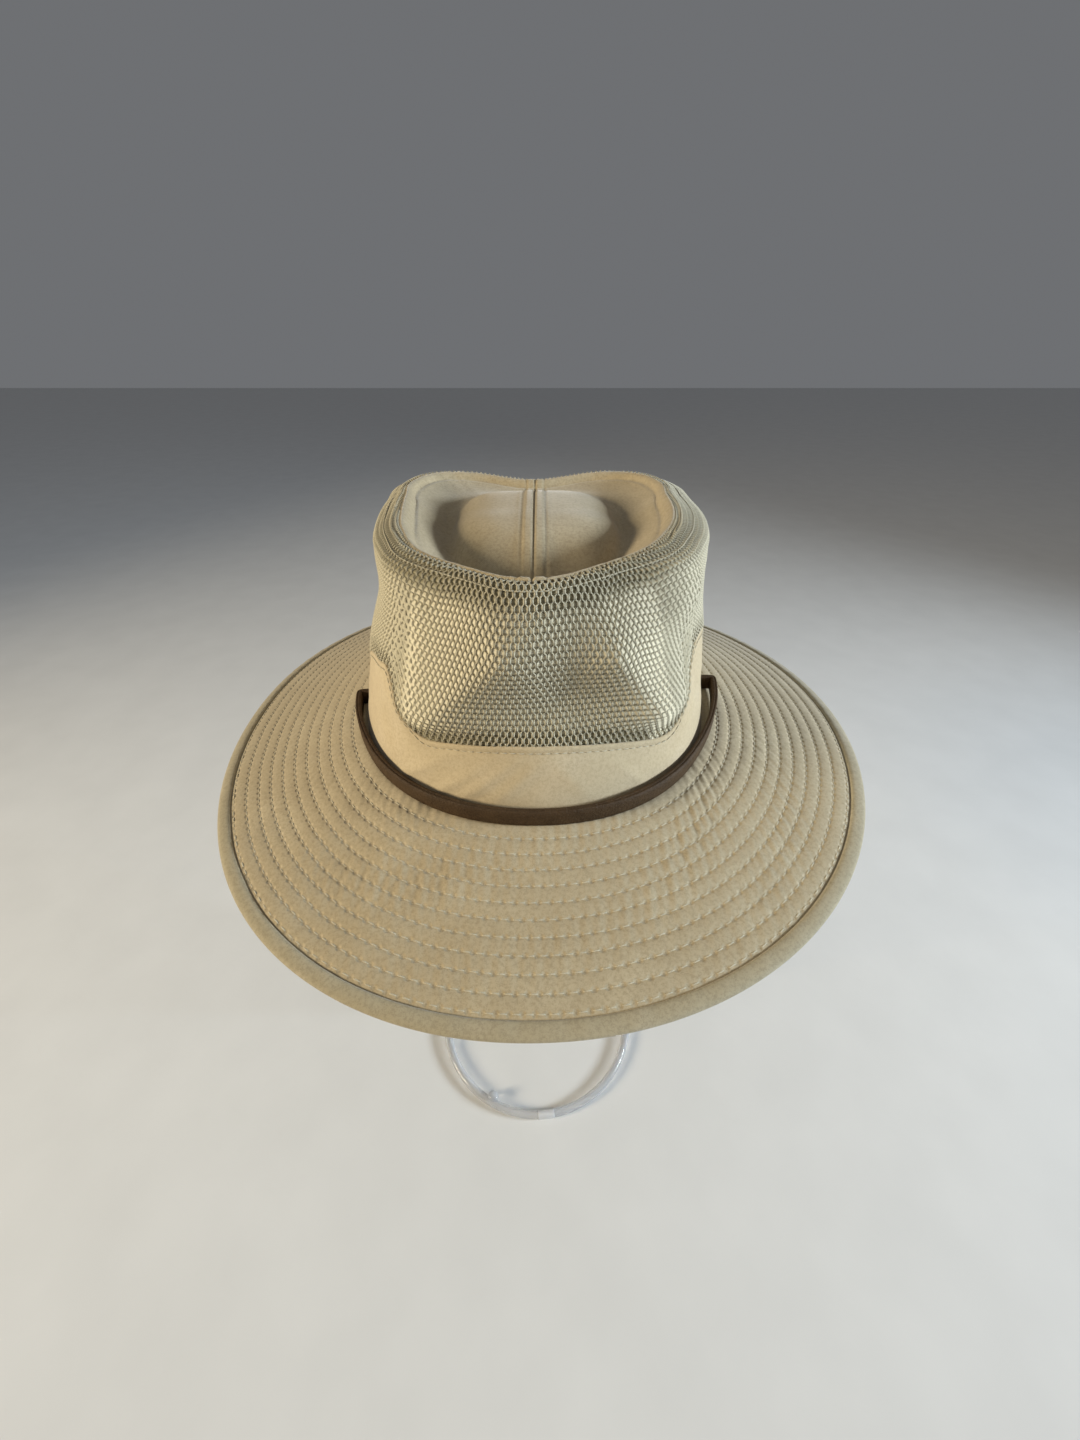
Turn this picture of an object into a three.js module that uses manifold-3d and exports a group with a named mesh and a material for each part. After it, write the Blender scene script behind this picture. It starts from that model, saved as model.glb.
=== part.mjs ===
// Safari hat with a stitched brim, a knitted crown and a leather band, standing on a clear
// display stand. Millimetres, +Z up, the front of the hat faces -Y. The origin lies on the
// floor, below the middle of the whole thing.

import * as THREE from "three";
import { mergeVertices } from "three/addons/utils/BufferGeometryUtils.js";
import Module from "manifold-3d";

const wasm = await Module();
wasm.setup();

// Driving sizes of the hat. Heights are measured from the plane of the crown's foot.
const CROWN_HALF_WIDTH = 87;
const CROWN_HALF_LENGTH = 103.4;
const CROWN_SQUARENESS = 2.15;
const CLOTH = 1.5;
const GAP = 0.3;
const BRIM_THICKNESS = 1.4;
const BRIM_WIDTH = 73;
const BINDING_WIDTH = 6.2;
const BINDING_LEAF = 1;
const LEATHER_THICKNESS = 2.2;
const LEATHER_HEIGHT = 7.6;
const LEATHER_LEFT_END = -78;
const LEATHER_RIGHT_END = 87;
const LEATHER_LEFT_BOW = 2.2;
const LEATHER_RIGHT_BOW = 7.2;
const LEATHER_TAIL = 6;
const LEDGE = 3;
const SEAM_AIR = 0.4;

// Driving sizes of the stand.
const STAND_HEIGHT = 330;
const STAND_SETBACK = -19;
const RING_RADIUS = 77.5;
const ROD_RADIUS = 3;
const POST_RADIUS = 4;
const PAD_RADIUS = 14;
const PAD_ROUNDING = 20;
const PAD_TOP = 86.6;
const PAD_DEPTH = 8;

// The hat's own middle lies a little off the middle of the whole thing.
const HAT_OFFSET = new THREE.Vector2(-0.9, 0.95);

// Facets round the hat, the stand's ring and its rods.
const HAT_STEPS = 60;
const LEATHER_STEPS = 30;
const RING_STEPS = 40;
const ROD_SIDES = 8;
const POST_SIDES = 12;

// The crown's rim, by degrees from the front: how far out it lies on each side, and how high.
const RIM = [
  { at: 0, right: 84, left: 84, height: 90 },
  { at: 20, right: 75.5, left: 77, height: 90.5 },
  { at: 38, right: 71.5, left: 73, height: 91.5 },
  { at: 58, right: 67, left: 65.5, height: 92.3 },
  { at: 85, right: 66, left: 62.5, height: 92.5 },
  { at: 110, right: 72, left: 70, height: 92.5 },
  { at: 128, right: 87, left: 86, height: 92 },
  { at: 143, right: 97.5, left: 97, height: 91.3 },
  { at: 156, right: 94, left: 92, height: 90.3 },
  { at: 169, right: 84, left: 82, height: 88.4 },
  { at: 180, right: 78.5, left: 78.5, height: 87.5 },
];

// Height of the seam between the light band and the mesh, by degrees from the front.
const MESH_SEAM = [
  { at: 0, right: 28.8, left: 28.8 },
  { at: 8, right: 28.2, left: 28.4 },
  { at: 18, right: 25.9, left: 26.3 },
  { at: 28, right: 22.9, left: 24.1 },
  { at: 33, right: 21.4, left: 28.2 },
  { at: 38, right: 21.4, left: 39.6 },
  { at: 43, right: 25.6, left: 46.8 },
  { at: 48, right: 37, left: 46 },
  { at: 53, right: 48, left: 44.6 },
  { at: 60, right: 50.4, left: 41.6 },
  { at: 72, right: 46, left: 33.5 },
  { at: 90, right: 38, left: 30 },
  { at: 120, right: 31, left: 29 },
  { at: 180, right: 29, left: 29 },
];

// How far the wall stands out of the straight line from foot to rim, by share of the rise.
const SWELL = [
  { at: 0, front: 0, right: 0, left: 0 },
  { at: 0.12, front: -0.6, right: 0.8, left: 0.5 },
  { at: 0.3, front: -3, right: 2.2, left: 1.6 },
  { at: 0.48, front: -3.6, right: 4.2, left: 3 },
  { at: 0.64, front: -2, right: 5, left: 3.2 },
  { at: 0.78, front: 0.2, right: 6.8, left: 3.2 },
  { at: 0.9, front: 1.8, right: 9, left: 5.4 },
  { at: 0.965, front: 1.6, right: 8.8, left: 5.8 },
  { at: 1, front: 0, right: 0, left: 0 },
];

// Soft folds of the wall: where they are centred, how far they spread and how far they stand out.
const FOLDS = [
  { angle: -39, rise: 0.5, wide: 9, tall: 0.24, out: 2.2 },
  { angle: 42, rise: 0.48, wide: 9, tall: 0.24, out: 2.4 },
  { angle: -72, rise: 0.66, wide: 22, tall: 0.14, out: -2 },
];

// Ridges at the edges of the flattened front, each along a straight line across the wall: degrees
// and share of the rise at both ends, how far they spread in degrees and how far they stand out.
const RIDGES = [
  { from: [-30, 0.31], to: [-7, 0.72], wide: 17, out: 7.5 },
  { from: [36, 0.29], to: [19, 0.71], wide: 16, out: 8.5 },
  { from: [20, 0.71], to: [50, 0.82], wide: 12, out: 3 },
];

// The whole rise counts as much as this many degrees where a ridge's spread is measured.
const DEGREES_UP = 60;

// The share of the rise where the ridges begin, the share where they reach their full height,
// and how round and how slender their crests are.
const RIDGE_START = 0.25;
const RIDGE_FULL = 0.42;
const CREST_ROUNDING = 0.1;
const CREST_SHARPNESS = 1.5;

// Heights along the dented tip, from its middle to its rim, towards the front, side and back.
const TIP = [
  { at: 0, front: 91.2, side: 91.2, back: 91.2 },
  { at: 0.15, front: 90.5, side: 91.1, back: 91.7 },
  { at: 0.3, front: 87.8, side: 90.4, back: 92 },
  { at: 0.4, front: 84.6, side: 89.1, back: 92 },
  { at: 0.5, front: 80.3, side: 86.4, back: 91 },
  { at: 0.6, front: 75.2, side: 79.4, back: 88.8 },
  { at: 0.69, front: 71, side: 78.6, back: 86 },
  { at: 0.8, front: 75, side: 82, back: 83.8 },
  { at: 0.91, front: 84, side: 87.8, back: 84.6 },
  { at: 1, front: 90, side: 92.5, back: 87.5 },
];

// How much sooner the dent falls away towards the back corners of the tip.
const TIP_CORNER = 0.25;

const khaki = new THREE.MeshStandardMaterial({ color: 0xa8916a, roughness: 0.9 });
const sand = new THREE.MeshStandardMaterial({ color: 0xc4ab7e, roughness: 0.9 });
const cream = new THREE.MeshStandardMaterial({ color: 0xb9b295, roughness: 0.95 });
const brown = new THREE.MeshStandardMaterial({ color: 0x35261e, roughness: 0.5 });
const clear = new THREE.MeshStandardMaterial({ color: 0xe4ecec, roughness: 0.08 });

const UP = new THREE.Vector3(0, 0, 1);
const { clamp, degToRad, lerp, radToDeg, smoothstep } = THREE.MathUtils;

// Follows one column of a table as a smooth curve, level at both of its ends.
function follow(rows, column, x) {
  const last = rows.length - 1;
  let low = 0;
  while (low < last - 1 && x > rows[low + 1].at) low += 1;
  const slope = (k) => {
    if (k === 0 || k === last) return 0;
    return (rows[k + 1][column] - rows[k - 1][column]) / (rows[k + 1].at - rows[k - 1].at);
  };
  const span = rows[low + 1].at - rows[low].at;
  const t = clamp((x - rows[low].at) / span, 0, 1);
  const rise = (rows[low + 1][column] - rows[low][column]) * t * t * (3 - 2 * t);
  const leave = slope(low) * span * t * (1 - t) * (1 - t);
  const arrive = slope(low + 1) * span * t * t * (1 - t);
  return rows[low][column] + rise + leave - arrive;
}

// The same for a table by degrees from the front, with one column for each side of the hat.
function followRound(rows, angle) {
  return follow(rows, angle < 0 ? "left" : "right", Math.abs(radToDeg(angle)));
}

// Angles run round the hat from its front, towards +X, in radians.
function polar(angle, reach, height) {
  return new THREE.Vector3(reach * Math.sin(angle), -reach * Math.cos(angle), height);
}

// The crown's foot is a squarish oval.
function footReach(angle) {
  const across = (Math.abs(Math.sin(angle)) / CROWN_HALF_WIDTH) ** CROWN_SQUARENESS;
  const along = (Math.abs(Math.cos(angle)) / CROWN_HALF_LENGTH) ** CROWN_SQUARENESS;
  return (across + along) ** (-1 / CROWN_SQUARENESS);
}

// Outward direction of the foot's oval, level with the ground.
function footNormal(angle) {
  const foot = polar(angle, footReach(angle), 0);
  const slope = (value, half) =>
    (Math.sign(value) * (Math.abs(value) / half) ** (CROWN_SQUARENESS - 1)) / half;
  const across = slope(foot.x, CROWN_HALF_WIDTH);
  const along = slope(foot.y, CROWN_HALF_LENGTH);
  return new THREE.Vector3(across, along, 0).normalize();
}

// A point of the foot's oval, moved outwards and up.
function besideFoot(angle, out, height) {
  return polar(angle, footReach(angle), height).addScaledVector(footNormal(angle), out);
}

function rimHeight(angle) {
  return follow(RIM, "height", Math.abs(radToDeg(angle)));
}

// How far a ridge lifts the wall at an angle and a share of the rise.
function ridgeLift(ridge, degrees, rise) {
  const place = (across, up) => new THREE.Vector2(across, up * DEGREES_UP);
  const start = place(...ridge.from);
  const line = place(...ridge.to).sub(start);
  const point = place(degrees, rise).sub(start);
  const along = clamp(point.dot(line) / line.lengthSq(), 0, 1);
  const away = point.distanceTo(line.multiplyScalar(along)) / ridge.wide;
  const crest = clamp(1 + CREST_ROUNDING - Math.hypot(away, CREST_ROUNDING), 0, 1);
  return ridge.out * crest ** CREST_SHARPNESS * smoothstep(rise, RIDGE_START, RIDGE_FULL);
}

// How far the crown's wall stands from the hat's axis.
function wallReach(angle, height) {
  const rise = clamp(height / rimHeight(angle), 0, 1);
  const degrees = radToDeg(angle);
  const fromFront = smoothstep(Math.abs(degrees), 20, 48);
  const side = follow(SWELL, angle < 0 ? "left" : "right", rise);
  const back = (follow(SWELL, "left", rise) + follow(SWELL, "right", rise)) / 2;
  const round = lerp(side, back, smoothstep(Math.abs(degrees), 110, 180));
  const swell = lerp(follow(SWELL, "front", rise), round, fromFront);
  let reach = lerp(footReach(angle), followRound(RIM, angle), rise) + swell;
  for (const fold of FOLDS) {
    const across = (degrees - fold.angle) / fold.wide;
    const up = (rise - fold.rise) / fold.tall;
    reach += fold.out * Math.exp(-across * across - up * up);
  }
  for (const ridge of RIDGES) {
    reach += ridgeLift(ridge, degrees, rise);
  }
  return reach;
}

// Height of the dented tip at a share of the way from its middle to its rim.
function tipHeight(angle, share) {
  const front = Math.max(Math.cos(angle), 0) ** 2;
  const back = Math.max(-Math.cos(angle), 0) ** 2;
  const side = Math.sin(angle) ** 2;
  const mix = (at) =>
    front * follow(TIP, "front", at) + side * follow(TIP, "side", at) + back * follow(TIP, "back", at);
  const corner = Math.cos(angle) < 0 ? Math.sin(2 * angle) ** 2 : 0;
  const at = share + TIP_CORNER * corner * share * (1 - share);
  return mix(at) + (rimHeight(angle) - mix(1)) * share ** 4;
}

// Height of the brim's edge round the hat: lowest at the back, a little higher on the right.
function brimEdgeHeight(angle) {
  const even = -19.4 + 2.9 * Math.cos(angle) - 3.4 * Math.cos(2 * angle);
  return even + 4 * Math.sin(angle) + 2.3 * Math.sin(2 * angle);
}

// A point of the brim's upper face, moved up or down. The brim starts level, under the
// leather band, and falls away more steeply near the crown than at its edge.
function onBrim(angle, out, lift) {
  const share = Math.max(out - LEDGE, 0) / BRIM_WIDTH;
  const edge = brimEdgeHeight(angle);
  const level = Math.min(out, LEDGE) + share * Math.sqrt(BRIM_WIDTH ** 2 - edge ** 2);
  return besideFoot(angle, level, edge * (1.3 * share - 0.3 * share * share) + lift);
}

// Lathes a closed blank and moves each of its points. place() gets the angle, the point's
// distance from the blank's axis and its height.
function shapedLathe(profile, steps, place) {
  const blank = new THREE.LatheGeometry(profile.map(([far, up]) => new THREE.Vector2(far, up)), steps);
  const spots = blank.getAttribute("position");
  for (let i = 0; i < spots.count; i += 1) {
    const x = spots.getX(i);
    const z = spots.getZ(i);
    const point = place(Math.atan2(x, z), Math.hypot(x, z), spots.getY(i));
    spots.setXYZ(i, point.x, point.y, point.z);
  }
  return welded(blank);
}

// Keeps only the positions and joins the points that coincide.
function welded(geometry) {
  const bare = geometry.clone();
  bare.deleteAttribute("normal");
  bare.deleteAttribute("uv");
  return mergeVertices(bare);
}

function asSolid(geometry) {
  const bare = welded(geometry.index ? geometry : mergeVertices(geometry));
  const vertProperties = new Float32Array(bare.getAttribute("position").array);
  const triVerts = new Uint32Array(bare.index.array);
  return new wasm.Manifold(new wasm.Mesh({ numProp: 3, vertProperties, triVerts }));
}

function asGeometry(solid) {
  const { vertProperties, triVerts } = solid.getMesh();
  const geometry = new THREE.BufferGeometry();
  geometry.setAttribute("position", new THREE.BufferAttribute(vertProperties, 3));
  geometry.setIndex(new THREE.BufferAttribute(triVerts, 1));
  return geometry;
}

// A cloth wall round the crown between two heights, with its thickness inside its outer face.
// shares says how far up the wall each row of facets starts.
function crownWall(bottom, top, shares) {
  const outside = shares.map((share) => [2, share]);
  const inside = shares.toReversed().map((share) => [1, share]);
  return shapedLathe([...outside, ...inside, outside[0]], HAT_STEPS, (angle, far, share) => {
    const height = lerp(bottom(angle), top(angle), share);
    return polar(angle, wallReach(angle, height) - CLOTH * (2 - far), height);
  });
}

function meshSeam(angle) {
  return followRound(MESH_SEAM, angle);
}

// One end of the leather band: its place, the way out of the crown and the way off the band.
function leatherEnd(degrees) {
  const angle = degToRad(degrees);
  const out = footNormal(angle);
  const off = new THREE.Vector3(-out.y, out.x, 0).multiplyScalar(Math.sign(degrees));
  return { angle, out, off };
}

const LEATHER_ENDS = [leatherEnd(LEATHER_LEFT_END), leatherEnd(LEATHER_RIGHT_END)];

// Air between the leather band and the crown: it bows away before each end turns in.
function leatherAir(angle) {
  const degrees = radToDeg(angle);
  const right = smoothstep(degrees, LEATHER_RIGHT_END - 42, LEATHER_RIGHT_END + 10);
  const left = smoothstep(-degrees, -LEATHER_LEFT_END - 30, -LEATHER_LEFT_END);
  return LEDGE - LEATHER_THICKNESS + LEATHER_RIGHT_BOW * right + LEATHER_LEFT_BOW * left;
}

function leatherBand() {
  const [left, right] = LEATHER_ENDS;
  const turn = LEATHER_THICKNESS / CROWN_HALF_WIDTH;
  const angles = (from, to) =>
    Array.from({ length: LEATHER_STEPS + 1 }, (_, k) => lerp(from, to, k / LEATHER_STEPS));
  const outside = angles(left.angle, right.angle).map((angle) =>
    besideFoot(angle, leatherAir(angle) + LEATHER_THICKNESS, 0),
  );
  const inside = angles(right.angle - turn, left.angle + turn).map((angle) =>
    besideFoot(angle, leatherAir(angle), 0),
  );
  const tail = ({ angle, off }) => {
    const tip = besideFoot(angle, -LEATHER_TAIL, 0);
    return [tip, tip.clone().addScaledVector(off, -LEATHER_THICKNESS)];
  };
  const outline = [...outside, ...tail(right), ...inside, ...tail(left).toReversed()];
  const shape = new THREE.Shape(outline.map(({ x, y }) => new THREE.Vector2(x, y)));
  const band = new THREE.ExtrudeGeometry(shape, { depth: LEATHER_HEIGHT, bevelEnabled: false });
  return welded(band.translate(0, 0, GAP));
}

// The light band of the crown, with a slit for each tail of the leather band.
function crownBand() {
  const top = (angle) => meshSeam(angle) - GAP / 2;
  let wall = asSolid(crownWall(() => -BRIM_THICKNESS, top, [0, 0.3, 0.65, 1]));
  const wide = LEATHER_THICKNESS + 2 * GAP;
  const tall = LEATHER_HEIGHT + 2 * GAP;
  for (const { angle, out, off } of LEATHER_ENDS) {
    const slit = new THREE.BoxGeometry(wide, 4 * LEATHER_TAIL, tall);
    const across = new THREE.Vector3(out.y, -out.x, 0);
    const middle = besideFoot(angle, 0, GAP + LEATHER_HEIGHT / 2);
    middle.addScaledVector(off, -LEATHER_THICKNESS / 2);
    slit.applyMatrix4(new THREE.Matrix4().makeBasis(across, out, UP).setPosition(middle));
    wall = wall.subtract(asSolid(slit));
  }
  return asGeometry(wall);
}

function crownMesh() {
  const bottom = (angle) => meshSeam(angle) + GAP / 2;
  return crownWall(bottom, rimHeight, [0, 0.2, 0.4, 0.58, 0.75, 0.87, 0.95, 1]);
}

// The dented panel that closes the crown, just inside the mesh's upper edge.
function crownTip() {
  const shares = TIP.map(({ at }) => at);
  const under = shares.map((share) => [share, 0]);
  const over = shares.toReversed().map((share) => [share, 1]);
  return shapedLathe([...under, ...over], HAT_STEPS, (angle, share, layer) => {
    const reach = share * (followRound(RIM, angle) - CLOTH - GAP);
    return polar(angle, reach, tipHeight(angle, share) - CLOTH * (1 - layer));
  });
}

// The stitched brim, from the crown's foot to just inside the binding.
function brim() {
  const start = 1;
  const edge = LEDGE + BRIM_WIDTH - BINDING_LEAF - GAP;
  const rows = [SEAM_AIR, LEDGE, 0.3 * edge, 0.62 * edge, edge];
  const over = rows.map((out) => [start + out, 0]);
  const under = rows.toReversed().map((out) => [start + out, -BRIM_THICKNESS]);
  const profile = [...over, ...under, over[0]].toReversed();
  return shapedLathe(profile, HAT_STEPS, (angle, far, lift) => onBrim(angle, far - start, lift));
}

// The strip folded over the brim's edge.
function brimBinding() {
  const edge = LEDGE + BRIM_WIDTH;
  const inner = edge - BINDING_WIDTH;
  const slot = edge - BINDING_LEAF;
  const top = GAP;
  const bottom = -BRIM_THICKNESS - GAP;
  const profile = [
    [inner, top + BINDING_LEAF],
    [inner, top],
    [slot, top],
    [slot, bottom],
    [inner, bottom],
    [inner, bottom - BINDING_LEAF],
    [edge, bottom - BINDING_LEAF],
    [edge, top + BINDING_LEAF],
    [inner, top + BINDING_LEAF],
  ];
  return shapedLathe(profile, HAT_STEPS, (angle, far, lift) => onBrim(angle, far, lift));
}

// A round rod's section with a flat below, as points round a centre.
function rodSection(centre) {
  const corner = ROD_RADIUS / Math.cos(Math.PI / ROD_SIDES);
  return Array.from({ length: ROD_SIDES + 1 }, (_, k) => {
    const turn = ((k + 0.5) * 2 * Math.PI) / ROD_SIDES;
    return new THREE.Vector2(centre + corner * Math.cos(turn), ROD_RADIUS + corner * Math.sin(turn));
  });
}

function standRing() {
  const ring = new THREE.LatheGeometry(rodSection(RING_RADIUS), RING_STEPS);
  return welded(ring.rotateX(Math.PI / 2));
}

function standCrossbar() {
  const length = 2 * (RING_RADIUS - ROD_RADIUS - GAP);
  const bar = new THREE.CylinderGeometry(ROD_RADIUS, ROD_RADIUS, length, ROD_SIDES);
  bar.rotateY(Math.PI / ROD_SIDES);
  return welded(bar.rotateZ(Math.PI / 2).translate(0, 0, ROD_RADIUS));
}

function standPost() {
  const foot = 2 * ROD_RADIUS + GAP;
  const head = STAND_HEIGHT + PAD_TOP - PAD_DEPTH - GAP;
  const post = new THREE.CylinderGeometry(POST_RADIUS, POST_RADIUS, head - foot, POST_SIDES);
  return welded(post.rotateX(Math.PI / 2).translate(0, 0, (head + foot) / 2));
}

// The rounded pad that carries the crown's tip from below.
function standTop() {
  const rows = 4;
  const widest = Math.asin(PAD_RADIUS / PAD_ROUNDING);
  const crownOfPad = Array.from({ length: rows + 1 }, (_, k) => {
    const turn = widest * (1 - k / rows);
    const height = PAD_ROUNDING * (Math.cos(turn) - 1);
    return new THREE.Vector2(PAD_ROUNDING * Math.sin(turn), height);
  });
  const base = [new THREE.Vector2(0, -PAD_DEPTH), new THREE.Vector2(PAD_RADIUS, -PAD_DEPTH)];
  const pad = new THREE.LatheGeometry([...base, ...crownOfPad], POST_SIDES);
  return welded(pad.rotateX(Math.PI / 2).translate(0, 0, STAND_HEIGHT + PAD_TOP));
}

function piece(name, geometry, material) {
  const mesh = new THREE.Mesh(geometry, material);
  mesh.name = name;
  return mesh;
}

const hat = new THREE.Group();
hat.position.set(HAT_OFFSET.x, HAT_OFFSET.y, STAND_HEIGHT);
hat.add(piece("crown_tip", crownTip(), khaki));
hat.add(piece("crown_mesh", crownMesh(), cream));
hat.add(piece("crown_band", crownBand(), sand));
hat.add(piece("leather_band", leatherBand(), brown));
hat.add(piece("brim", brim(), khaki));
hat.add(piece("brim_binding", brimBinding(), khaki));

const stand = new THREE.Group();
stand.position.set(HAT_OFFSET.x, HAT_OFFSET.y + STAND_SETBACK, 0);
stand.add(piece("stand_base_ring", standRing(), clear));
stand.add(piece("stand_crossbar", standCrossbar(), clear));
stand.add(piece("stand_post", standPost(), clear));
stand.add(piece("stand_top", standTop(), clear));

const group = new THREE.Group();
group.add(hat);
group.add(stand);

export default group;
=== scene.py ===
"""A safari hat on its clear display stand: brushed cloth, knitted mesh, leather and acrylic.

Sizes are in millimetres, measured from the axis and the foot of the crown. Angles run round the
hat from its front, towards its +X side, in radians. Pieces are placed in metres at the end.
"""

import math

import bmesh
import bpy
import numpy as np
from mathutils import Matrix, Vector


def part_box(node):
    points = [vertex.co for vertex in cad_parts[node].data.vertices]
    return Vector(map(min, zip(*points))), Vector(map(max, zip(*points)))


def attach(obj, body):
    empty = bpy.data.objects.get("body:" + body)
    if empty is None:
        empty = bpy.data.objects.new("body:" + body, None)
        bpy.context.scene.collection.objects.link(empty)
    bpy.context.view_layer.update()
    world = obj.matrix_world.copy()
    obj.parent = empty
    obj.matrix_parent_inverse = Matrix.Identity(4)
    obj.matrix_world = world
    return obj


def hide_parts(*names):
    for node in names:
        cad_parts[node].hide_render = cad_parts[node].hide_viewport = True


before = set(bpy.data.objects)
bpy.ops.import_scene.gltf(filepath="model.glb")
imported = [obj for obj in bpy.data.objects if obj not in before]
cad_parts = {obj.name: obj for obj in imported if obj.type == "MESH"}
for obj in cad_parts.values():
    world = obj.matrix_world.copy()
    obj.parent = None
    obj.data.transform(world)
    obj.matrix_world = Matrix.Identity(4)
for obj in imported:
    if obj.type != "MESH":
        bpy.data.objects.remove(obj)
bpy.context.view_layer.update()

MM = 0.001
TURN = 2 * math.pi

# The hat's own sizes. The brim falls steeper where it starts than at its edge, by the share
# BRIM_BEND, and LEDGE is the level strip it starts with, under the leather band.
CROWN_HALF_WIDTH = 87
CROWN_HALF_LENGTH = 103.4
CROWN_SQUARENESS = 2.15
BRIM_THICKNESS = 1.4
BRIM_WIDTH = 73
BRIM_BEND = 0.3
LEDGE = 3
LEATHER_THICKNESS = 2.2
LEATHER_HEIGHT = 7.6
LEATHER_LIFT = 0.3
LEATHER_LEFT_END = -78
LEATHER_RIGHT_END = 87
LEATHER_LEFT_BOW = 2.2
LEATHER_RIGHT_BOW = 7.2
LEATHER_LEFT_RUN = 30
LEATHER_RIGHT_RUN = 42
LEATHER_TAIL = 5
LEATHER_WAVE = 0.125
TIP_EDGE = 3

# Rows of stitches on the brim: where the first one lies, how far apart they are and how many
# stitches each holds.
FIRST_ROW = 7.9
ROW_PITCH = 6.04
ROW_COUNT = 11
FIRST_STITCHES = 158
MORE_STITCHES = 9
ROW_SHIFT = 0.37
STITCH_PITCH = 4.1
STITCH_LENGTH = 3.3

# The knit: how far apart its threads stand, the length of one zigzag and the thread's size.
THREAD_PITCH = 1.31
ZIGZAG = 4.9
ZIGZAG_REACH = 0.42
THREAD_RADIUS = 0.34
THREAD_SIDES = 4
THREAD_SINK = 0.35
TUCKED_SINK = 0.65
KNOT_SWELL = 0.5
KNOT_RISE = 0.6
THREAD_OVER = 3.4
MESH_TUCK = 1.6
MID_WALL = 60.0

# The smaller stitches of the crown.
RIM_STITCHES = 260
BAND_STITCH_PITCH = 3.3

# A fine run of angles to measure lengths along, and a small turn that shows which way a line goes.
FINE_ANGLES = np.linspace(-math.pi, math.pi, 4001)
AHEAD = 0.004

# Where a UV map carries lengths, this many millimetres are one unit.
UV_MM = 100.0

# The stand.
RING_RADIUS = 77.5
ROD_RADIUS = 3
POST_RADIUS = 4
PAD_RADIUS = 14
PAD_ROUNDING = 20
BEAD_RADIUS = 4.4
BEAD_DEGREES = -27
JOINT_DEGREES = (1, 10)
JOINT_EXTRA = 0.12

# The camera: its lens and sensor, where it stands from the crown's foot and its angle from
# straight down, in degrees.
LENS = 13.525
SENSOR_WIDTH = 36
EYE = (2.7, -253.1, 158.3)
EYE_TILT = 54

# The lamps: place and size in metres, power in watts, colour, and spread in degrees.
LAMPS = [
    ("warm_side", (-2.0, -0.7, 0.94), (0.7, 0.6), 13, (1, 0.865, 0.63), 90),
    ("cool_side", (2.1, -0.35, 0.82), (0.7, 0.4), 17, (0.82, 0.92, 1), 90),
    ("soft_top", (0, -0.35, 1.8), (1.2, 1.2), 1.9, (1, 0.93, 0.83), 180),
]
FLOOR_HALF = 6


def table(columns, rows):
    """A table of numbers as one array for each named column."""
    return dict(zip(columns.split(), np.array(rows, float).T))


# The crown's rim, by degrees from the front: how far out it lies on each side, and how high.
RIM = table("at right left height", [
    (0, 84, 84, 90),
    (20, 75.5, 77, 90.5),
    (38, 71.5, 73, 91.5),
    (58, 67, 65.5, 92.3),
    (85, 66, 62.5, 92.5),
    (110, 72, 70, 92.5),
    (128, 87, 86, 92),
    (143, 97.5, 97, 91.3),
    (156, 94, 92, 90.3),
    (169, 84, 82, 88.4),
    (180, 78.5, 78.5, 87.5),
])

# Height of the seam between the light band and the mesh, by degrees from the front.
MESH_SEAM = table("at right left", [
    (0, 28.8, 28.8),
    (8, 28.2, 28.4),
    (18, 25.9, 26.3),
    (28, 22.9, 24.1),
    (33, 21.4, 28.2),
    (38, 21.4, 39.6),
    (43, 25.6, 46.8),
    (48, 37, 46),
    (53, 48, 44.6),
    (60, 50.4, 41.6),
    (72, 46, 33.5),
    (90, 38, 30),
    (120, 31, 29),
    (180, 29, 29),
])

# How far the wall stands out of the straight line from foot to rim, by share of the rise.
SWELL = table("at front right left", [
    (0, 0, 0, 0),
    (0.12, -0.6, 0.8, 0.5),
    (0.3, -3, 2.2, 1.6),
    (0.48, -3.6, 4.2, 3),
    (0.64, -2, 5, 3.2),
    (0.78, 0.2, 6.8, 3.2),
    (0.9, 1.8, 9, 5.4),
    (0.965, 1.6, 8.8, 5.8),
    (1, 0, 0, 0),
])

# Soft folds of the wall: centre by degrees and by share of the rise, spread, and how far out.
FOLDS = [
    (-44, 0.5, 9, 0.24, 0.6),
    (47, 0.5, 10, 0.2, -0.8),
    (-72, 0.66, 22, 0.14, -2),
    (3, 0.48, 16, 0.16, -2.6),
    (-27, 0.86, 9, 0.06, -1.8),
]

# Ridges at the edges of the flattened front: degrees and share of the rise at both ends, spread
# in degrees and how far out. The whole rise counts as so many degrees, and between two shares of
# it the ridges start and reach their full height.
RIDGES = [
    (-30, 0.31, -7, 0.72, 17, 7.5),
    (36, 0.29, 19, 0.71, 16, 8.5),
    (20, 0.71, 50, 0.82, 12, 3),
]
DEGREES_UP = 60
RIDGE_START = 0.25
RIDGE_FULL = 0.42
CREST_ROUNDING = 0.1
CREST_SHARPNESS = 1.5

# Heights along the dented tip, from its middle to its rim, towards the front, side and back.
TIP = table("at front side back", [
    (0, 91.2, 91.2, 91.2),
    (0.15, 90.5, 91.1, 91.7),
    (0.3, 87.8, 90.6, 92),
    (0.4, 84.6, 89.6, 92),
    (0.5, 80.3, 87.8, 91),
    (0.58, 76.2, 84.6, 89.3),
    (0.64, 73, 80, 87.6),
    (0.69, 71, 79.8, 86),
    (0.8, 75, 84.2, 83.8),
    (0.91, 84, 88.8, 84.6),
    (1, 90, 92.5, 87.5),
])
TIP_CORNER = 0.25
TIP_SEAM = 4.9
TIP_HEM = 5.7

# Short bumps of the tip's back edge: degrees and height.
TIP_BUMPS = [(-147, 0.8), (-151.5, 0.7), (-143.5, 0.35)]

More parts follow.
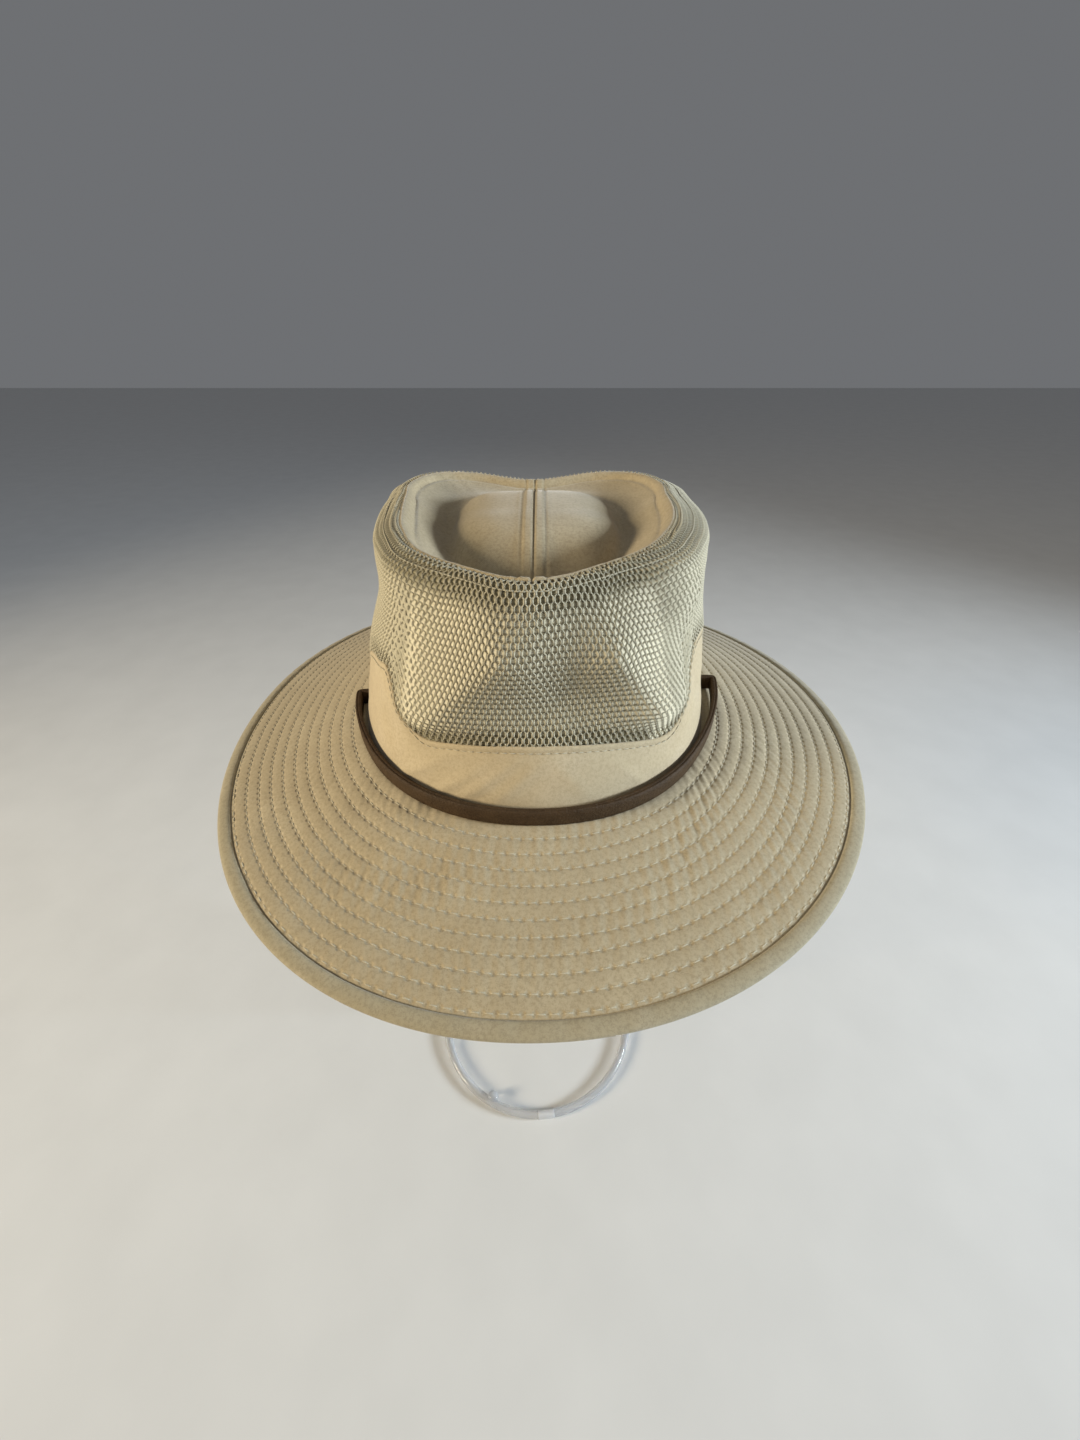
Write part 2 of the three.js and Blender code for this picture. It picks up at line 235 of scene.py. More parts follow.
# Wrinkles of the light band: degrees, height, slant, width in degrees, and how far out.
BAND_WRINKLES = [
    (-12, 13, 0.75, 1.9, 0.7),
    (-19, 11, 0.8, 1.8, 0.6),
    (-4, 15, 0.65, 2.4, 0.5),
    (9, 16, -0.5, 2, 0.3),
    (24, 12, -0.6, 1.8, 0.3),
    (-29, 12, 0.9, 2.2, 0.6),
    (50, 22, 1.2, 4, 0.4),
    (-48, 20, -1, 3.5, 0.4),
    (100, 14, 0.6, 3, 0.4),
    (-110, 14, -0.6, 3, 0.4),
    (150, 13, 0.5, 3, 0.4),
    (-160, 13, 0.5, 3, 0.3),
]


# Shapes shared by the pieces. Each takes and gives arrays.


def smooth(x, low, high):
    """0 below low, 1 above high, and smooth between."""
    t = np.clip((x - low) / (high - low), 0, 1)
    return t * t * (3 - 2 * t)


def bell(x, middle, spread):
    """1 at the middle, falling smoothly to 0 on both sides."""
    return np.exp(-(((x - middle) / spread) ** 2))


def follow(rows, column, x):
    """One column of a table as a smooth curve, level at both of its ends."""
    at, value = rows["at"], rows[column]
    slope = np.zeros_like(value)
    slope[1:-1] = (value[2:] - value[:-2]) / (at[2:] - at[:-2])
    low = np.clip(np.searchsorted(at, x) - 1, 0, len(at) - 2)
    span = at[low + 1] - at[low]
    t = np.clip((x - at[low]) / span, 0, 1)
    rise = (value[low + 1] - value[low]) * t * t * (3 - 2 * t)
    leave = slope[low] * span * t * (1 - t) ** 2
    arrive = slope[low + 1] * span * t * t * (1 - t)
    return value[low] + rise + leave - arrive


def turned(angle):
    """The same angle between half a turn to the left and half a turn to the right."""
    return (np.asarray(angle, float) + math.pi) % TURN - math.pi


def follow_round(rows, angle):
    """A table with a column for each side of the hat, followed by angle."""
    degrees = np.degrees(turned(angle))
    right = follow(rows, "right", abs(degrees))
    left = follow(rows, "left", abs(degrees))
    return np.where(degrees < 0, left, right)


def polar(angle, reach, height):
    """A point at a distance from the axis, in the direction of an angle, and its height."""
    angle, reach, height = np.broadcast_arrays(angle, reach, height)
    return np.stack([reach * np.sin(angle), -reach * np.cos(angle), height], -1)


def foot_reach(angle):
    """The crown's foot is a squarish oval."""
    across = (abs(np.sin(angle)) / CROWN_HALF_WIDTH) ** CROWN_SQUARENESS
    along = (abs(np.cos(angle)) / CROWN_HALF_LENGTH) ** CROWN_SQUARENESS
    return (across + along) ** (-1 / CROWN_SQUARENESS)


def foot_normal(angle):
    """The level direction straight out of the foot's oval."""
    foot = polar(angle, foot_reach(angle), 0.0)
    half = np.array([CROWN_HALF_WIDTH, CROWN_HALF_LENGTH])
    slope = np.sign(foot[..., :2]) * (abs(foot[..., :2]) / half) ** (CROWN_SQUARENESS - 1) / half
    slope /= np.linalg.norm(slope, axis=-1, keepdims=True)
    return np.concatenate([slope, np.zeros_like(slope[..., :1])], -1)


def beside_foot(angle, out, height):
    """A point of the foot's oval, moved outwards and up."""
    angle, out, height = np.broadcast_arrays(angle, out, height)
    return polar(angle, foot_reach(angle), height) + foot_normal(angle) * out[..., None]


def rim_height(angle):
    """Height of the crown's rim."""
    return follow(RIM, "height", abs(np.degrees(turned(angle))))


def mesh_seam(angle):
    """Height of the seam between the light band and the mesh."""
    return follow_round(MESH_SEAM, angle)


def ridge_rise(x, y, x1, up1, x2, up2, spread, out):
    """A ridge with a narrow crest, along a straight line across the wall."""
    y1, y2 = up1 * DEGREES_UP, up2 * DEGREES_UP
    along = ((x - x1) * (x2 - x1) + (y - y1) * (y2 - y1)) / ((x2 - x1) ** 2 + (y2 - y1) ** 2)
    along = np.clip(along, 0, 1)
    away = np.hypot(x - x1 - along * (x2 - x1), y - y1 - along * (y2 - y1)) / spread
    tent = np.clip(1 + CREST_ROUNDING - np.sqrt(away**2 + CREST_ROUNDING**2), 0, 1)
    return out * tent**CREST_SHARPNESS * smooth(y / DEGREES_UP, RIDGE_START, RIDGE_FULL)


def wall_reach(angle, height):
    """How far the crown's wall stands from the hat's axis."""
    degrees = np.degrees(turned(angle))
    rise = np.clip(height / rim_height(angle), 0, 1)
    right, left = follow(SWELL, "right", rise), follow(SWELL, "left", rise)
    side = np.where(degrees < 0, left, right)
    behind = smooth(abs(degrees), 110, 180)
    swell = side * (1 - behind) + (left + right) / 2 * behind
    from_front = smooth(abs(degrees), 20, 48)
    swell = follow(SWELL, "front", rise) * (1 - from_front) + swell * from_front
    reach = foot_reach(angle) * (1 - rise) + follow_round(RIM, angle) * rise + swell
    for middle, up, wide, tall, out in FOLDS:
        reach = reach + out * bell(degrees, middle, wide) * bell(rise, up, tall)
    for ridge in RIDGES:
        reach = reach + ridge_rise(degrees, rise * DEGREES_UP, *ridge)
    return reach


def tip_height(angle, share):
    """Height of the dented tip at a share of the way from its middle to its rim."""
    front = np.maximum(np.cos(angle), 0) ** 2
    back = np.maximum(-np.cos(angle), 0) ** 2
    side = np.sin(angle) ** 2
    corner = np.where(np.cos(angle) < 0, np.sin(2 * angle) ** 2, 0)

    def mix(at):
        parts = [follow(TIP, name, at) for name in ("front", "side", "back")]
        return front * parts[0] + side * parts[1] + back * parts[2]

    at = share + TIP_CORNER * corner * share * (1 - share)
    return mix(at) + (rim_height(angle) - mix(np.ones_like(at))) * share**4


def brim_edge_height(angle):
    """Height of the brim's edge: lowest at the back, a little higher on the right."""
    even = -19.4 + 2.9 * np.cos(angle) - 3.4 * np.cos(2 * angle)
    return even + 4 * np.sin(angle) + 2.3 * np.sin(2 * angle)


def on_brim(angle, out, lift):
    """A point of the brim's upper face, moved up or down."""
    share = np.maximum(out - LEDGE, 0) / BRIM_WIDTH
    edge = brim_edge_height(angle)
    level = np.minimum(out, LEDGE) + share * np.sqrt(BRIM_WIDTH**2 - edge**2)
    return beside_foot(angle, level, edge * share * (1 + BRIM_BEND - BRIM_BEND * share) + lift)


def leather_air(angle):
    """Air between the leather band and the crown: it bows away before each end turns in."""
    degrees = np.degrees(angle)
    right = smooth(degrees, LEATHER_RIGHT_END - LEATHER_RIGHT_RUN, LEATHER_RIGHT_END + 10)
    left = smooth(-degrees, -LEATHER_LEFT_END - LEATHER_LEFT_RUN, -LEATHER_LEFT_END)
    return LEDGE - LEATHER_THICKNESS + LEATHER_RIGHT_BOW * right + LEATHER_LEFT_BOW * left


# Making meshes.


def steps(*spans):
    """Numbers along a line: each span is (start, end, step), and spans follow one another."""
    parts = [np.linspace(a, b, max(2, round(abs(b - a) / step) + 1))[:-1] for a, b, step in spans]
    return np.concatenate([*parts, [spans[-1][1]]])


def both_ways(half):
    """Steps from 0 outwards, mirrored to run from end to end."""
    return np.concatenate([-half[:0:-1], half])


def hat_place():
    """The middle of the crown's foot, in metres."""
    low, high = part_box("crown_band")
    return np.array([(low.x + high.x) / 2, (low.y + high.y) / 2, low.z + BRIM_THICKNESS * MM])


def stand_place():
    """The middle of the stand's ring on the floor, in metres."""
    low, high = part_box("stand_base_ring")
    return np.array([(low.x + high.x) / 2, (low.y + high.y) / 2, low.z])


def baked(name, bm):
    """A mesh from a finished bmesh, which it frees."""
    mesh = bpy.data.meshes.new(name)
    bm.to_mesh(mesh)
    bm.free()
    return mesh


def close_up(piece):
    """Fills the open ends of a tube and turns its faces outwards."""
    bm = bmesh.new()
    bm.from_mesh(piece.data)
    bmesh.ops.holes_fill(bm, edges=[edge for edge in bm.edges if edge.is_boundary], sides=0)
    bmesh.ops.recalc_face_normals(bm, faces=bm.faces)
    bm.to_mesh(piece.data)
    bm.free()
    return piece


def surface(name, across, along, place, origin, uv=None):
    """A grid of points placed by place(across, along), closed where its edges meet."""
    bm = bmesh.new()
    bmesh.ops.create_grid(bm, x_segments=len(across) - 1, y_segments=len(along) - 1, size=0.5)
    mesh = bpy.data.meshes.new(name)
    bm.to_mesh(mesh)
    spots = np.empty(3 * len(mesh.vertices))
    mesh.vertices.foreach_get("co", spots)
    spots = spots.reshape(-1, 3) + 0.5
    a = np.asarray(across, float)[np.rint(spots[:, 0] * (len(across) - 1)).astype(int)]
    b = np.asarray(along, float)[np.rint(spots[:, 1] * (len(along) - 1)).astype(int)]
    mesh.vertices.foreach_set("co", (place(a, b) * MM + origin).ravel())
    corners = np.empty(len(mesh.loops), int)
    mesh.loops.foreach_get("vertex_index", corners)
    flat = np.stack(uv(a, b) if uv else (a * MM, b * MM), -1)
    mesh.uv_layers.new(name="UVMap").data.foreach_set("uv", flat[corners].ravel())
    bm.clear()
    bm.from_mesh(mesh)
    bmesh.ops.remove_doubles(bm, verts=bm.verts, dist=1e-6)
    bmesh.ops.recalc_face_normals(bm, faces=bm.faces)
    bm.to_mesh(mesh)
    bm.free()
    return bpy.data.objects.new(name, mesh)


def scattered(name, template, places, forwards, ups):
    """One mesh of many copies of a small template, each turned to its own directions."""
    forwards = forwards / np.linalg.norm(forwards, axis=-1, keepdims=True)
    sides = np.cross(ups, forwards)
    sides /= np.linalg.norm(sides, axis=-1, keepdims=True)
    ups = np.cross(forwards, sides)
    spots = np.empty(3 * len(template.vertices))
    template.vertices.foreach_get("co", spots)
    x, y, z = spots.reshape(-1, 3).T[:, None, :, None]
    points = places[:, None] + forwards[:, None] * x + sides[:, None] * y + ups[:, None] * z
    faces = np.array([list(face.vertices) + [-1] * (4 - len(face.vertices)) for face in template.polygons])
    count = len(places)
    shifts = len(template.vertices) * np.arange(count)[:, None, None]
    joined = np.where(faces[None] < 0, -1, faces[None] + shifts).reshape(-1, 4)
    mesh = bpy.data.meshes.new(name)
    rows = [row[row >= 0].tolist() for row in joined]
    mesh.from_pydata((points.reshape(-1, 3) * MM + HAT).tolist(), [], rows)
    return bpy.data.objects.new(name, mesh)


def stitch_template(length, width, height, droop):
    """A small lozenge of thread along X, whose ends bend down into the cloth."""
    bm = bmesh.new()
    bmesh.ops.create_uvsphere(bm, u_segments=6, v_segments=5, radius=0.5)
    for vert in bm.verts:
        x, y, z = vert.co
        vert.co = (z * length, y * width, x * height - droop * (2 * z) ** 4)
    bmesh.ops.recalc_face_normals(bm, faces=bm.faces)
    return baked("stitch_template", bm)


def tubes(paths, radii, sides):
    """Points and faces of threads along many paths of the shape (paths, points, 3)."""
    forwards = np.gradient(paths, axis=1)
    forwards /= np.linalg.norm(forwards, axis=-1, keepdims=True)
    across = np.cross(paths * [1, 1, 0], forwards)
    across /= np.linalg.norm(across, axis=-1, keepdims=True)
    ups = np.cross(forwards, across)
    turn = np.arange(sides) * TURN / sides
    ring = across[:, :, None] * np.cos(turn)[:, None] + ups[:, :, None] * np.sin(turn)[:, None]
    points = paths[:, :, None] + ring * radii[:, :, None, None]
    number, length = paths.shape[:2]
    index = np.arange(number * length * sides).reshape(number, length, sides)
    nexts = np.roll(index, -1, axis=2)
    walls = np.stack([index[:, :-1], nexts[:, :-1], nexts[:, 1:], index[:, 1:]], -1).reshape(-1, 4)
    return points.reshape(-1, 3), walls


def keep(piece, slot, material, *nodes):
    """Adds a finished piece to the scene and ties it to the frame."""
    bpy.context.scene.collection.objects.link(piece)
    piece.data.polygons.foreach_set("use_smooth", [True] * len(piece.data.polygons))
    piece.data.materials.append(material)
    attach(piece, "root")
    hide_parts(*nodes)


def thicken(piece, thickness):
    """Gives a shell its thickness on its inner side."""
    wall = piece.modifiers.new("wall", "SOLIDIFY")
    wall.thickness = thickness * MM
    wall.offset = -1
    return piece


# Materials.

CLOTH_GRAIN = 0.09
TWILL_PITCH = 0.85

# Cloth colours: their dark fuzz, their middle and their light blots.
KHAKI = ((0.3, 0.238, 0.142), (0.46, 0.383, 0.253), (0.505, 0.428, 0.289))
# Partly painted shade: the binding is the khaki made greyer, which is its own tone, and darker, which is
# painted shade for its down-turned fold.
SHADED_OLIVE = ((0.26, 0.22, 0.145), (0.41, 0.355, 0.24), (0.46, 0.4, 0.28))
SAND = ((0.4, 0.315, 0.195), (0.54, 0.445, 0.29), (0.58, 0.485, 0.33))
# Painted shade: the tip's cloth is the khaki made darker, for the shade inside the dented tip.
SHADED_TAN = ((0.25, 0.195, 0.115), (0.42, 0.345, 0.22), (0.47, 0.39, 0.255))


class Finish:
    """One material, built node by node around a Principled shader."""

    def __init__(self, name, **values):
        self.material = bpy.data.materials.new(name)
        self.material.use_nodes = True
        self.tree = self.material.node_tree
        self.shader = self.tree.nodes["Principled BSDF"]
        for key, value in values.items():
            self.shader.inputs[key.replace("_", " ")].default_value = value

    def add(self, kind, inputs=None, **settings):
        """A new node, its inputs set to values or linked to sockets."""
        node = self.tree.nodes.new("ShaderNode" + kind)
        for key, value in settings.items():
            setattr(node, key, value)
        for key, value in (inputs or {}).items():
            if isinstance(value, bpy.types.NodeSocket):
                self.tree.links.new(value, node.inputs[key])
            else:
                node.inputs[key].default_value = value
        return node

    def math(self, operation, *values):
        """One sum of values and sockets."""
        return self.add("Math", dict(enumerate(values)), operation=operation).outputs[0]

    def place(self, kind="Object", scale=1 / MM):
        """Coordinates in millimetres."""
        source = self.add("TexCoord").outputs[kind]
        sized = self.add("Mapping", {"Vector": source, "Scale": (scale, scale, scale)})
        return sized.outputs[0]

    def noise(self, where, size, detail=2.0, rough=0.5):
        """Cloudy noise whose blots are about size millimetres across."""
        inputs = {"Vector": where, "Scale": 1 / size, "Detail": detail, "Roughness": rough}
        return self.add("TexNoise", inputs).outputs["Fac"]

    def ramp(self, value, *stops):
        """Colours or greys along a value: each stop is (place, colour)."""
        node = self.add("ValToRGB", {"Fac": value})
        ramp = node.color_ramp
        while len(ramp.elements) < len(stops):
            ramp.elements.new(0.5)
        for element, (at, colour) in zip(ramp.elements, stops):
            element.position = at
            element.color = (*colour, 1) if len(colour) == 3 else (*colour * 3, 1)
        return node.outputs["Color"]

    def band(self, value, low, high):
        """0 where the value is under low, 1 over high; low may be over high."""
        node = self.add("MapRange", {0: value, 1: low, 2: high}, interpolation_type="SMOOTHSTEP")
        return node.outputs[0]

    def blend(self, share, first, second):
        """The first colour where share is 0, the second where it is 1."""
        return self.add("Mix", {0: share, 6: first, 7: second}, data_type="RGBA").outputs[2]

    def colour(self, socket):
        """Takes the surface's colour from a socket."""
        self.tree.links.new(socket, self.shader.inputs["Base Color"])

    def rough(self, socket):
        """Takes the surface's roughness from a socket."""
        self.tree.links.new(socket, self.shader.inputs["Roughness"])

    def bump(self, height, depth, below=None):
        """Raises the surface by depth millimetres where height is 1."""
        inputs = {"Height": height, "Distance": depth * MM, "Strength": 1.0}
        if below is not None:
            inputs["Normal"] = below
        normal = self.add("Bump", inputs).outputs[0]
        self.tree.links.new(normal, self.shader.inputs["Normal"])
        return normal


def cloth(name, dark, middle, light, weave=0.0):
    """Brushed cotton: cloudy colour, fine fuzz and, where weave is more than 0, a faint twill."""
    finish = Finish(name, Roughness=0.92, Sheen_Weight=0.25, Sheen_Roughness=0.45)
    finish.shader.inputs["Specular IOR Level"].default_value = 0.25
    here = finish.place()
    clouds = finish.noise(here, 24, 3)
    fuzz = finish.noise(here, 1.3, 4, 0.6)
    fine = finish.noise(here, 0.38, 2, 0.6)
    base = finish.ramp(clouds, (0.36, middle), (0.5, middle), (0.68, light))
    speckle = finish.math("MULTIPLY_ADD", fuzz, 0.55, finish.math("MULTIPLY", fine, 0.45))
    shade = finish.math("MULTIPLY", finish.band(speckle, 0.58, 0.36), 0.6)
    finish.colour(finish.blend(shade, base, (*dark, 1)))
    height = speckle
    if weave:
        split = finish.add("SeparateXYZ", {0: finish.place("UV")})
        slant = finish.math("ADD", split.outputs[0], split.outputs[1])
        twill = finish.math("SINE", finish.math("MULTIPLY", slant, TURN / TWILL_PITCH))
        height = finish.math("MULTIPLY_ADD", twill, weave, speckle)
    finish.bump(height, CLOTH_GRAIN)
    return finish


def brim_cloth():
    """Khaki cloth with a pinch between rows and, at both ends of each stitch, a needle hole painted as a
    small dark spot of shade.
    """
    finish = cloth("brim_cloth", *KHAKI)
    flat = finish.add("SeparateXYZ", {0: finish.add("TexCoord").outputs["UV"]})
    around, out = flat.outputs[0], finish.math("MULTIPLY", flat.outputs[1], UV_MM)
    row = finish.math("DIVIDE", finish.math("SUBTRACT", out, FIRST_ROW), ROW_PITCH)
    row = finish.math("MINIMUM", finish.math("MAXIMUM", finish.math("ROUND", row), 0), ROW_COUNT - 1)
    centre = finish.math("MULTIPLY_ADD", row, ROW_PITCH, FIRST_ROW)
    off_row = finish.math("SUBTRACT", out, centre)
    stitches = finish.math("MULTIPLY_ADD", row, MORE_STITCHES, FIRST_STITCHES)
    shift = finish.math("MULTIPLY", row, ROW_SHIFT)
    phase = finish.math("PINGPONG", finish.math("MULTIPLY_ADD", around, stitches, shift), 0.5)
    along = finish.math("MULTIPLY", phase, STITCH_PITCH)
    distance = finish.math("SQRT", finish.math(
        "ADD", finish.math("POWER", off_row, 2), finish.math("POWER", along, 2)))
    needle_hole_shade = finish.band(distance, 0.42, 0.15)
    soft = finish.band(distance, 1.3, 0.3)
    pale = finish.shader.inputs["Base Color"].links[0].from_socket
    # Painted shade: each needle hole is a dark spot in the colour, not a hole in the cloth.
    finish.colour(finish.blend(finish.math("MULTIPLY", needle_hole_shade, 0.24), pale, (0.045, 0.034, 0.018, 1)))
    cloth_normal = finish.shader.inputs["Normal"].links[0].from_socket
    finish.bump(finish.math("SUBTRACT", 1.0, soft), 0.3, cloth_normal)
    return finish


def thread(name, colour):
    """Matt yarn, a little darker in blots."""
    finish = Finish(name, Roughness=0.75, Sheen_Weight=0.2)
    here = finish.place()
    strand = finish.noise(here, 0.35, 2, 0.6)
    darker = tuple(0.72 * part for part in colour)
    finish.colour(finish.ramp(strand, (0.35, darker), (0.65, colour)))
    finish.bump(strand, 0.05)
    return finish


def knit_back():
    """The fine flat back of the knit, seen between its threads: painted shade makes it dark beside the
    seams, and painted light makes it lighter than the yarn on the front.
    """
    finish = Finish("knit_back", Roughness=0.95, Sheen_Weight=0.1)
    split = finish.add("SeparateXYZ", {0: finish.place("UV", UV_MM)})
    here = finish.place()
    loops = finish.noise(here, 0.55, 3, 0.6)
    ragged = finish.math("MULTIPLY_ADD", finish.noise(here, 7, 2), 5, -2.5)
    # Painted shade: beside the band and under the rim the back is painted dark, for the shade of the
    # crown's inside seen through the holes.
    shade_near_band = finish.band(finish.math("ADD", split.outputs[0], ragged), 7.5, 3)
    shade_near_rim = finish.band(finish.math("ADD", split.outputs[1], ragged), 13, 6)
    dark = finish.math("MAXIMUM", shade_near_band, shade_near_rim)
    # Painted light: on the front the back is lighter than the yarn, to offset the shade it lies in between
    # the threads. Beside the front it is blended towards about the yarn's own colour.
    base = finish.ramp(loops, (0.3, (0.69, 0.63, 0.465)), (0.7, (0.83, 0.76, 0.575)))
    beside = finish.math("MULTIPLY_ADD", finish.band(split.outputs[0], 95, 65), -0.75, 0.75)
    base = finish.blend(beside, base, (0.5, 0.455, 0.33, 1))
    finish.colour(finish.blend(dark, base, (0.31, 0.27, 0.165, 1)))
    finish.bump(loops, 0.2)
    return finish


def leather():
    """Dark brown leather with a fine grain, a little worn on its crests."""
    finish = Finish("leather", Roughness=0.6)
    finish.shader.inputs["Specular IOR Level"].default_value = 0.2
    here = finish.place()
    cells = finish.add("TexVoronoi", {"Vector": here, "Scale": 1.1}, feature="F1").outputs["Distance"]
    grain = finish.noise(here, 0.6, 4, 0.6)
    cloud = finish.noise(here, 7, 2)
    base = finish.ramp(cloud, (0.35, (0.036, 0.019, 0.007)), (0.7, (0.055, 0.03, 0.012)))
    worn = finish.band(grain, 0.6, 0.47)
    finish.colour(finish.blend(finish.math("MULTIPLY", worn, 0.25), base, (0.12, 0.078, 0.042, 1)))
    finish.rough(finish.math("MULTIPLY_ADD", grain, 0.3, 0.45))
    finish.bump(finish.math("MULTIPLY_ADD", cells, 0.5, grain), 0.3)
    return finish


def acrylic(name, cloudy, clear):
    """Clear polished acrylic, cloudy where its roughness is higher. Where it is less than fully clear, the
    rest is white: painted light for the light a clear rod passes on and the highlights it shows.
    """
    finish = Finish(name, IOR=1.4, Transmission_Weight=clear)
    finish.shader.inputs["Base Color"].default_value = (0.97, 0.98, 1, 1)
    here = finish.place()
    finish.rough(finish.math("MULTIPLY_ADD", finish.noise(here, 6, 2), 0.06, cloudy))
    return finish


# The crown.


def tip_details(x, share, angle, reach):
    """Seam, stitched edges and small wrinkles of the tip, as a height to add."""
    beside = abs(x)
    seam = 0.5 * (1 - smooth(beside, TIP_SEAM, TIP_SEAM + 1)) - 1.1 * bell(beside, 0, 0.5)
    seam -= 0.6 * bell(beside, TIP_SEAM, 0.6)
    seam += 0.15 * bell(beside, TIP_SEAM + 1.7, 1.4)
    from_edge = (1 - share) * reach
    edge = 0.6 * np.sin(np.pi * np.clip(from_edge / 5.5, 0, 1)) - 1.1 * bell(from_edge, TIP_HEM, 0.9)
    edge += 0.6 * bell(from_edge, 0, 4) - 0.9 * np.clip(1 - from_edge / 1.3, 0, 1) ** 2
    edge += 0.1 * np.sin(angle * 61) * bell(from_edge, 4, 3)
    degrees = np.degrees(turned(angle))
    crease = 0.69 - 0.045 * np.sin(angle) ** 2
    creases = -1.5 * np.exp(-abs(share - crease) * reach / 2.2) * (1 - smooth(abs(degrees), 120, 165))
    for middle, tall in TIP_BUMPS:
        creases = creases + tall * bell(degrees, middle, 1.1) * bell(share, 0.84, 0.12)
    return seam + edge + creases


def crown_tip():
    """The dented top panel. Its grid is closest along the seam and the stitched edge."""
    width, length = 67, 82
    u = both_ways(steps((0, 8, 0.5), (8, width - 9, 1.8), (width - 9, width, 0.75))) / width
    v = both_ways(steps((0, length - 10, 1.6), (length - 10, length, 0.8))) / length

    def place(u, v):
        x, y = u * np.sqrt(1 - v * v / 2), v * np.sqrt(1 - u * u / 2)
        share, angle = np.minimum(np.hypot(x, y), 1), np.arctan2(x, -y)
        reach = follow_round(RIM, angle) - TIP_EDGE
        point = polar(angle, share * reach, tip_height(angle, share))
        point[:, 2] += tip_details(point[:, 0], share, angle, reach)
        swell = np.sin(point[:, 0] / 9 + 1.3) * np.sin(point[:, 1] / 11 + 0.4)
        point[:, 2] += 0.35 * swell * (1 - share**3)
        return point

    tip = surface("crown_tip_cloth", u, v, place, HAT, lambda u, v: (u * width * MM, v * length * MM))
    return thicken(tip, 1.5)


def wall_point(angle, height, out):
    """A point on the crown's wall, moved outwards."""
    return polar(angle, wall_reach(angle, height) + out, height)


def run_along(points):
    """How far each point of a line lies from its first one, along the line."""
    return np.concatenate([[0], np.cumsum(np.linalg.norm(np.diff(points, axis=0), axis=1))])


def even_angles(count):
    """Angles whose points stand evenly spaced round the wall, and the way round it."""
    run = run_along(wall_point(FINE_ANGLES, MID_WALL, 0.0))
    return np.interp(np.linspace(0, run[-1], count + 1)[:-1], run, FINE_ANGLES), run[-1]


def wall_run(angle, marks_between):
    """Marks along the way up the wall and on over its rim.

    Gives the length to each mark, its height, how far it lies past the rim and how far below it.
    """
    heights = (rim_height(angle) - 0.2) * (1 - (1 - np.linspace(0, 1, 260)) ** 1.6)
    lengths = run_along(wall_point(angle, heights, 0.0))
    start = np.interp(band_top(angle) - MESH_TUCK, heights, lengths)
    marks = marks_between(start, lengths[-1] + THREAD_OVER)
    below = lengths[-1] - marks
    return marks, np.interp(marks, lengths, heights), np.maximum(-below, 0), below


def beside_front(angle):
    """0 in the middle of the flattened front, 1 beside it, where the knit is ribbed."""
    return smooth(abs(math.degrees(turned(angle))), 12, 36)


def crown_threads():
    """The zigzag threads of the mesh, side by side in mirrored pairs, as four pieces."""
    pairs = round(even_angles(1)[1] / THREAD_PITCH / 2)
    groups = {"front": {}, "right": {}, "back": {}, "left": {}}
    names = list(groups)
    step = ZIGZAG / 8

    def marks_between(start, end):
        return (np.arange(math.ceil(start / step), int(end / step) + 1) + 0.5) * step

    for number, middle in enumerate(even_angles(2 * pairs)[0]):
        marks, height, over, below = wall_run(middle, marks_between)
        swing = np.clip(1.8 * np.sin(TURN * marks / ZIGZAG), -1, 1)
        knot = np.sin(TURN * marks / ZIGZAG) ** 2
        beside = beside_front(middle)
        rise = KNOT_RISE * (1 + 0.6 * beside)
        sideways = (1 if number % 2 else -1) * ZIGZAG_REACH * swing
        angle = middle + sideways / wall_reach(middle, height)
        tucked = 1 - smooth(height, band_top(angle) - 0.4, band_top(angle) + 0.8)
        out = (rise * knot - THREAD_SINK) * (1 - tucked) - TUCKED_SINK * tucked
        reach = wall_reach(angle, height) + out * (1 - smooth(over, 0, 1)) - over
        lift = rise * knot * smooth(over, 0, 1) - 0.2 * smooth(over, 2, THREAD_OVER)
        path = polar(angle, reach, height + lift)
        narrow = 0.3 * (1 - smooth(below, 5, 14)) * smooth(abs(math.degrees(turned(middle))), 15, 50)
        swell = KNOT_SWELL * (1 + 0.6 * beside)
        radii = THREAD_RADIUS * (1 - swell / 2 + swell * knot) * (1 - narrow) * (1 - 0.12 * beside)
        quarter = names[int((turned(middle + math.pi / 4) % TURN) / (math.pi / 2))]
        groups[quarter].setdefault(len(marks), []).append((path, radii))
    return [thread_piece("knitted_threads_" + name, group) for name, group in groups.items()]


def thread_piece(name, group):
    """One piece from many threads, which are grouped by their number of points."""
    points, faces, passed = [], [], 0
    for threads in group.values():
        spots, walls = tubes(*(np.array(part) for part in zip(*threads)), THREAD_SIDES)
        points.append(spots)
        faces.append(walls + passed)
        passed += len(spots)
    mesh = bpy.data.meshes.new(name)
    mesh.from_pydata((np.concatenate(points) * MM + HAT).tolist(), [], np.concatenate(faces).tolist())
    return bpy.data.objects.new(name, mesh)


